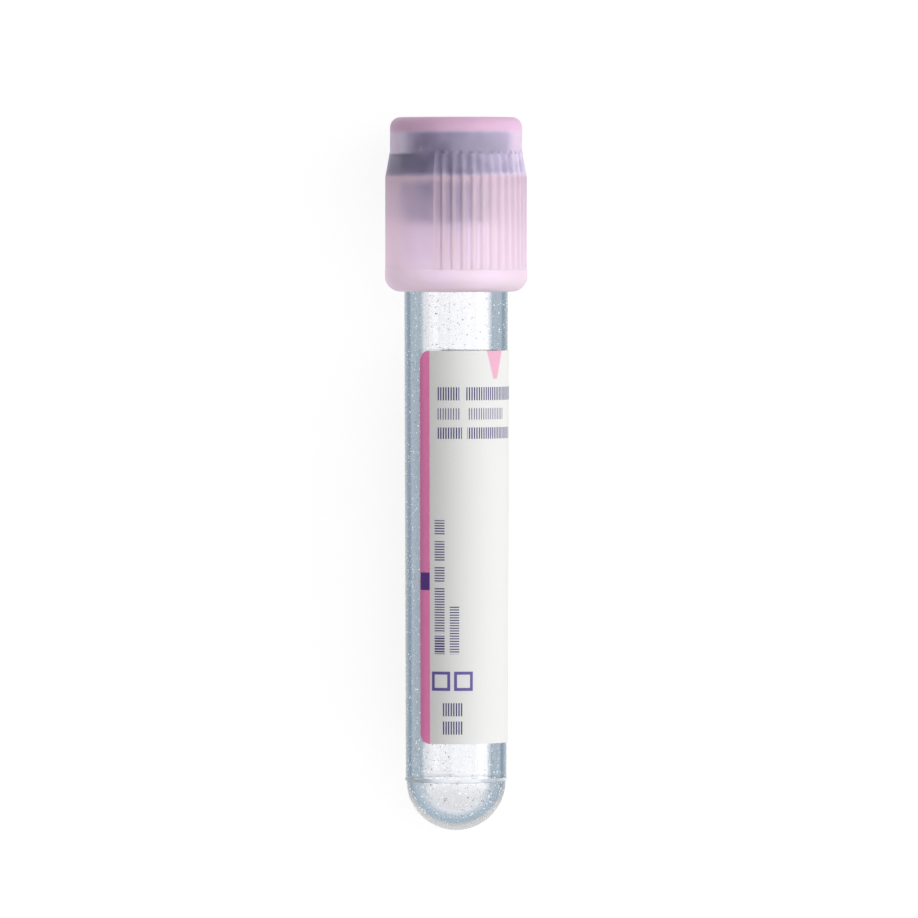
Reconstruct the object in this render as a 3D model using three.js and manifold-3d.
// Blood collection tube with a push-on safety closure, lying on its side as it comes to rest.
// Millimetres, +Z up. The tube's axis runs along +Y to the closure, which lies a little higher than
// the round bottom because the closure is thicker than the tube.
// The origin is on the floor, under the middle of the whole object.
//
// Every piece is turned about the local Y axis. A station is a height along that axis, measured from
// the lowest point of the round bottom. An angle round the axis is 0 at the top of the lying tube (+Z)
// and grows towards +X.

import * as THREE from 'three';
import { mergeVertices } from 'three/addons/utils/BufferGeometryUtils.js';
import Module from 'manifold-3d';

// ---------------------------------------------------------------- driving dimensions

const FACETS = 48;          // flats round every turned piece, one of them facing the floor
const DOME_STEPS = 9;       // steps of a quarter circle on the round bottom
const EDGE_STEPS = 5;       // steps of a quarter circle on a rounded edge
const RUNNING_GAP = 0.05;   // between two pieces that fit together

const TUBE = {
  length: 75,               // round bottom to rim
  mouthRadius: 6,           // outside, at the rim
  draft: 0.2,               // radius lost from the rim down to the parting ring
  wall: 1,
  bottomWall: 1.2,
  domeInset: 0.1,           // the round bottom's mould half is this much smaller than the body's
  ringProud: 0.07,          // parting ring, where the two mould halves met
  ringHeight: 0.45,
  rimRound: 0.25,
};

const STOPPER = {
  flangeOverhang: 1.15,     // beyond the tube's rim
  flangeHeight: 2.5,
  seatGap: 0.1,             // between the flange and the tube's rim
  topInset: 1.15,           // the upper part is this much smaller in radius than the flange
  topHeight: 2.6,
  topRound: 0.6,
  wellMouthRadius: 3.3,     // well that guides the needle to the middle
  wellFloorRadius: 3.1,
  wellDepth: 2.7,
  plugLength: 5.2,
  plugLead: 0.6,            // chamfer that leads the plug into the bore
  landHeight: 1.4,          // each of the two sealing lands
  waistDepth: 0.22,         // relief between the lands
  hollowRadius: 2.8,        // cup in the plug's underside
  hollowDepth: 3.6,
};

const SHIELD = {
  skirtDrop: 13.14,         // skirt below the tube's rim
  skirtWall: 1.15,
  pocketWall: 0.4,          // round the stopper's flange, where the shield is thinnest
  chamferStep: 0.535,       // radius gained from the upper band to the skirt
  chamferAbovePocket: 0.22,
  chamferHeight: 2.67,
  topRound: 1.2,
  recess: 1.66,             // from the shield's top face down to the stopper
  openingRadius: 4.75,      // needle opening, at the lip
  openingFlare: 0.4,
  openingRound: 0.4,
  beadProud: 0.065,
  beadHeight: 2.54,
  beadRound: 1.8,
  collarGap: 0.35,          // inside the bead, round the tube
  snapReach: 0.5,           // how far the snap ring reaches under the flange
  snapHeight: 1,
};

const GRIP = {
  pitch: 8.4,               // degrees from one flute to the next
  flutes: 14,               // in each sector
  sectors: 2,
  firstAngle: -14.5,        // degrees, middle of the first flute of the first sector
  mouthWidth: 0.62,
  rootWidth: 0.3,
};

const LABEL = {
  bottom: 10.2,             // station of its lower edge
  length: 44.95,
  startAngle: -43,          // degrees, the edge with the coloured stripe
  wrapAngle: 250,           // degrees of the tube that it covers
  cornerRadius: 1.25,
  thickness: 0.12,
  glueGap: 0.05,
};

// ---------------------------------------------------------------- shared places

const HALF_PI = Math.PI / 2;
const radians = THREE.MathUtils.degToRad;

const footRadius = TUBE.mouthRadius - TUBE.draft;
const domeRadius = footRadius - TUBE.domeInset;
const ringRadius = footRadius + TUBE.ringProud;
const ringTop = domeRadius + TUBE.ringHeight;
const boreMouthRadius = TUBE.mouthRadius - TUBE.wall;
const boreFootRadius = footRadius - TUBE.wall;
const boreFoot = TUBE.bottomWall + boreFootRadius;

const flangeRadius = TUBE.mouthRadius + STOPPER.flangeOverhang;
const flangeBottom = TUBE.length + STOPPER.seatGap;
const flangeTop = flangeBottom + STOPPER.flangeHeight;
const stopperTopRadius = flangeRadius - STOPPER.topInset;
const stopperTop = flangeTop + STOPPER.topHeight;
const plugBottom = flangeBottom - STOPPER.seatGap - STOPPER.plugLength;

const pocketRadius = flangeRadius + RUNNING_GAP;
const pocketTop = flangeTop + RUNNING_GAP;
const bandRadius = pocketRadius + SHIELD.pocketWall;
const skirtRadius = bandRadius + SHIELD.chamferStep;
const beadRadius = skirtRadius + SHIELD.beadProud;
const skirtBottom = TUBE.length - SHIELD.skirtDrop;
const beadTop = skirtBottom + SHIELD.beadHeight;
const collarRadius = TUBE.mouthRadius + SHIELD.collarGap;
const beadRound = Math.min(SHIELD.beadRound, beadRadius - collarRadius - RUNNING_GAP);
const chamferTop = pocketTop + SHIELD.chamferAbovePocket;
const shieldTop = stopperTop + SHIELD.recess;

// Outside radius of the tube's body, which tapers evenly from the rim to the parting ring.
function bodyRadiusAt(station) {
  const share = (station - ringTop) / (TUBE.length - ringTop);
  return THREE.MathUtils.lerp(footRadius, TUBE.mouthRadius, share);
}

// Radius of the tube's bore, which tapers evenly from the mouth to the round bottom.
function boreRadiusAt(station) {
  const share = (station - boreFoot) / (TUBE.length - boreFoot);
  return THREE.MathUtils.lerp(boreFootRadius, boreMouthRadius, share);
}

// ---------------------------------------------------------------- geometry helpers

// Points of an arc in a profile, from one angle to another. Angle 0 points away from the axis and
// a quarter turn points up the axis.
function arc(radius, station, size, fromAngle, toAngle, steps) {
  const points = [];
  for (let i = 0; i <= steps; i += 1) {
    const angle = THREE.MathUtils.lerp(fromAngle, toAngle, i / steps);
    const reach = Math.max(0, radius + size * Math.cos(angle));
    points.push([reach < 1e-9 ? 0 : reach, station + size * Math.sin(angle)]);
  }
  return points;
}

// Solid of revolution from a profile of [radius, station] points that goes up the outside.
function turned(profile) {
  const points = profile.map(([radius, station]) => new THREE.Vector2(radius, station));
  return closed(new THREE.LatheGeometry(points, FACETS, Math.PI / FACETS));
}

// The same surface with shared vertices, and without the empty triangles that a lathe leaves on its axis.
function closed(geometry) {
  const bare = geometry.clone();
  bare.deleteAttribute('normal');
  bare.deleteAttribute('uv');
  const merged = mergeVertices(bare);
  const corners = merged.index.array;
  const kept = [];
  for (let i = 0; i < corners.length; i += 3) {
    const [a, b, c] = [corners[i], corners[i + 1], corners[i + 2]];
    if (a !== b && b !== c && c !== a) kept.push(a, b, c);
  }
  merged.setIndex(kept);
  return merged;
}

const wasm = await Module();
wasm.setup();

function solidOf(geometry) {
  const surface = closed(geometry);
  return new wasm.Manifold(new wasm.Mesh({
    numProp: 3,
    vertProperties: new Float32Array(surface.attributes.position.array),
    triVerts: new Uint32Array(surface.index.array),
  }));
}

// Cuts each of the tools away from a body and gives the geometry that is left.
function cut(body, tools) {
  const solid = tools.reduce((rest, tool) => rest.subtract(solidOf(tool)), solidOf(body));
  const { vertProperties, triVerts } = solid.getMesh();
  const geometry = new THREE.BufferGeometry();
  geometry.setAttribute('position', new THREE.BufferAttribute(vertProperties, 3));
  geometry.setIndex(new THREE.BufferAttribute(triVerts, 1));
  return geometry;
}

const AXIAL = new THREE.Vector3(0, 1, 0);
const radial = (angle) => new THREE.Vector3(Math.sin(angle), 0, Math.cos(angle));
const around = (angle) => new THREE.Vector3(Math.cos(angle), 0, -Math.sin(angle));

function prism(outline, depth, curveSegments = EDGE_STEPS) {
  return new THREE.ExtrudeGeometry(outline, { depth, curveSegments, bevelEnabled: false });
}

// ---------------------------------------------------------------- tube

function tubeGeometry() {
  const { length, bottomWall, rimRound } = TUBE;
  return turned([
    ...arc(0, domeRadius, domeRadius, -HALF_PI, 0, DOME_STEPS),
    [ringRadius, domeRadius],
    [ringRadius, ringTop - TUBE.ringProud],
    [footRadius, ringTop],
    ...arc(TUBE.mouthRadius - rimRound, length - rimRound, rimRound, 0, HALF_PI, 2),
    ...arc(boreMouthRadius + rimRound, length - rimRound, rimRound, HALF_PI, Math.PI, 2),
    ...arc(0, bottomWall + boreFootRadius, boreFootRadius, 0, -HALF_PI, DOME_STEPS),
  ]);
}

// ---------------------------------------------------------------- stopper

function stopperGeometry() {
  const { landHeight, waistDepth, plugLead, hollowRadius, topRound } = STOPPER;
  const plugRadius = boreRadiusAt(plugBottom) - RUNNING_GAP;
  const plugTop = flangeBottom;
  const waistRadius = plugRadius - waistDepth;
  const hollowTop = plugBottom + STOPPER.hollowDepth;
  const wellFloor = stopperTop - STOPPER.wellDepth;
  return turned([
    [0, hollowTop],
    ...arc(hollowRadius - plugLead, hollowTop - plugLead, plugLead, HALF_PI, 0, EDGE_STEPS),
    [hollowRadius, plugBottom],
    [plugRadius - plugLead, plugBottom],
    [plugRadius, plugBottom + plugLead],
    [plugRadius, plugBottom + landHeight],
    [waistRadius, plugBottom + landHeight + waistDepth],
    [waistRadius, plugTop - landHeight - waistDepth],
    [plugRadius, plugTop - landHeight],
    [plugRadius, plugTop],
    [flangeRadius, flangeBottom],
    [flangeRadius, flangeTop],
    [stopperTopRadius, flangeTop],
    ...arc(stopperTopRadius - topRound, stopperTop - topRound, topRound, 0, HALF_PI, EDGE_STEPS),
    [STOPPER.wellMouthRadius, stopperTop],
    [STOPPER.wellFloorRadius, wellFloor],
    [0, wellFloor],
  ]);
}

// ---------------------------------------------------------------- shield

// The hollow moulding before its grip flutes are cut: up the outside, over the top and down the inside.
function shieldBlank() {
  const { topRound, openingRadius, openingRound, snapReach, snapHeight } = SHIELD;
  const skirtInside = skirtRadius - SHIELD.skirtWall;
  const snapRadius = flangeRadius - snapReach;
  const snapTop = flangeBottom - RUNNING_GAP;
  const snapBottom = snapTop - snapHeight;
  const flareRadius = openingRadius + SHIELD.openingFlare;
  const profile = [
    [collarRadius, skirtBottom],
    ...arc(beadRadius - beadRound, skirtBottom + beadRound, beadRound, -HALF_PI, 0, EDGE_STEPS),
    [beadRadius, beadTop - SHIELD.beadProud],
    [skirtRadius, beadTop],
    [skirtRadius, chamferTop - SHIELD.chamferHeight],
    [bandRadius, chamferTop],
    ...arc(bandRadius - topRound, shieldTop - topRound, topRound, 0, HALF_PI, EDGE_STEPS),
    ...arc(flareRadius + openingRound, shieldTop - openingRound, openingRound, HALF_PI, Math.PI, 3),
    [openingRadius, stopperTop + RUNNING_GAP],
    [stopperTopRadius + RUNNING_GAP, stopperTop + RUNNING_GAP],
    [stopperTopRadius + RUNNING_GAP, pocketTop],
    [pocketRadius, pocketTop],
    [pocketRadius, snapTop],
    [snapRadius, snapTop],
    [snapRadius, snapBottom],
    [skirtInside, snapBottom - (skirtInside - snapRadius)],
    [skirtInside, beadTop + (skirtInside - collarRadius)],
    [collarRadius, beadTop],
  ];
  return turned([...profile, profile[0]]);
}

// One grip flute's cutter: a groove with a rounded root on the upper band's radius, so that it runs
// out at the top of the chamfer and stops against the bead below.
function fluteCutter(angle) {
  const outside = beadRadius + SHIELD.chamferStep;
  const depth = skirtRadius - bandRadius;
  const flank = (GRIP.mouthWidth - GRIP.rootWidth) / 2 / depth;
  const mouth = GRIP.rootWidth / 2 + flank * (outside - bandRadius);
  const rounding = GRIP.rootWidth / 2;
  const shoulder = bandRadius + rounding;
  const shoulderHalf = GRIP.rootWidth / 2 + flank * rounding;
  const outline = new THREE.Shape();
  outline.moveTo(mouth, outside);
  outline.lineTo(-mouth, outside);
  outline.lineTo(-shoulderHalf, shoulder);
  outline.quadraticCurveTo(-shoulderHalf, bandRadius, 0, bandRadius);
  outline.quadraticCurveTo(shoulderHalf, bandRadius, shoulderHalf, shoulder);
  const place = new THREE.Matrix4().makeBasis(around(angle).negate(), radial(angle), AXIAL);
  place.setPosition(0, beadTop, 0);
  return prism(outline, chamferTop + SHIELD.chamferStep - beadTop, 3).applyMatrix4(place);
}

function shieldGeometry() {
  const flutes = [];
  for (let sector = 0; sector < GRIP.sectors; sector += 1) {
    const sectorAngle = GRIP.firstAngle + (360 * sector) / GRIP.sectors;
    for (let i = 0; i < GRIP.flutes; i += 1) {
      flutes.push(fluteCutter(radians(sectorAngle + GRIP.pitch * i)));
    }
  }
  return cut(shieldBlank(), flutes);
}

// ---------------------------------------------------------------- label

const labelTop = LABEL.bottom + LABEL.length;
const labelStart = radians(LABEL.startAngle);
const labelEnd = labelStart + radians(LABEL.wrapAngle);

// The strip of tube that the label leaves clear, as a wedge.
function windowCutter() {
  const reach = 2 * TUBE.mouthRadius;
  const outline = new THREE.Shape();
  outline.moveTo(0, 0);
  outline.lineTo(reach * Math.cos(labelEnd), reach * Math.sin(labelEnd));
  outline.absarc(0, 0, reach, labelEnd, labelStart + 2 * Math.PI, false);
  const place = new THREE.Matrix4().makeBasis(radial(0), radial(HALF_PI), AXIAL);
  place.setPosition(0, LABEL.bottom - 1, 0);
  return prism(outline, LABEL.length + 2, FACETS).applyMatrix4(place);
}

// What a rounded corner takes off the square one. side is 1 at the label's start and -1 at its end,
// and rise is 1 at its lower edge and -1 at its upper edge.
function cornerCutter(side, rise) {
  const size = LABEL.cornerRadius;
  const margin = LABEL.thickness;
  const depth = 10 * LABEL.thickness;
  const station = rise > 0 ? LABEL.bottom : labelTop;
  const edgeAngle = side > 0 ? labelStart : labelEnd;
  const middle = bodyRadiusAt(station) + LABEL.glueGap + LABEL.thickness / 2;
  const angle = edgeAngle + (side * size) / 2 / middle;
  const outline = new THREE.Shape();
  outline.moveTo(-margin, -margin);
  outline.lineTo(size, -margin);
  outline.lineTo(size, 0);
  outline.absarc(size, size, size, -HALF_PI, -Math.PI, true);
  outline.lineTo(-margin, size);
  const inward = around(angle).multiplyScalar(side);
  const along = AXIAL.clone().multiplyScalar(rise);
  const place = new THREE.Matrix4().makeBasis(inward, along, inward.clone().cross(along));
  const corner = radial(angle).multiplyScalar(middle).addScaledVector(inward, -size / 2);
  place.setPosition(corner.addScaledVector(AXIAL, station));
  return prism(outline, depth, 8).translate(0, 0, -depth / 2).applyMatrix4(place);
}

function labelGeometry() {
  const inside = (station) => bodyRadiusAt(station) + LABEL.glueGap;
  const ring = turned([
    [inside(LABEL.bottom), LABEL.bottom],
    [inside(LABEL.bottom) + LABEL.thickness, LABEL.bottom],
    [inside(labelTop) + LABEL.thickness, labelTop],
    [inside(labelTop), labelTop],
    [inside(LABEL.bottom), LABEL.bottom],
  ]);
  const corners = [1, -1].flatMap((side) => [1, -1].map((rise) => cornerCutter(side, rise)));
  return cut(ring, [windowCutter(), ...corners]);
}

// ---------------------------------------------------------------- assembly

const clearPlastic = new THREE.MeshStandardMaterial({
  color: 0xe6ecf0, roughness: 0.08, metalness: 0, transparent: true, opacity: 0.35,
});
const darkRubber = new THREE.MeshStandardMaterial({ color: 0x4a4a58, roughness: 0.8, metalness: 0 });
const lavenderPlastic = new THREE.MeshStandardMaterial({
  color: 0xdcbfd8, roughness: 0.35, metalness: 0, transparent: true, opacity: 0.8,
});
const whitePaper = new THREE.MeshStandardMaterial({ color: 0xececea, roughness: 0.6, metalness: 0 });

function piece(name, geometry, material) {
  geometry.computeVertexNormals();
  const mesh = new THREE.Mesh(geometry, material);
  mesh.name = name;
  return mesh;
}

const labelledTube = new THREE.Group();
labelledTube.add(
  piece('tube', tubeGeometry(), clearPlastic),
  piece('label', labelGeometry(), whitePaper),
);

const closure = new THREE.Group();
closure.add(
  piece('stopper', stopperGeometry(), darkRubber),
  piece('shield', shieldGeometry(), lavenderPlastic),
);

// It rests on the closure's bead and on the parting ring, each on one of its flats.
const flatShare = Math.cos(Math.PI / FACETS);
const restRise = (beadRadius - ringRadius) * flatShare;
const restRun = skirtBottom + beadRound - domeRadius;

const lyingTube = new THREE.Group();
lyingTube.add(labelledTube, closure);
lyingTube.rotation.x = Math.atan2(restRise, restRun);
lyingTube.updateMatrixWorld(true);
const extent = new THREE.Box3().setFromObject(lyingTube, true);
const middle = extent.getCenter(new THREE.Vector3());
lyingTube.position.set(-middle.x, -middle.y, -extent.min.z);

const bloodCollectionTube = new THREE.Group();
bloodCollectionTube.add(lyingTube);

export default bloodCollectionTube;
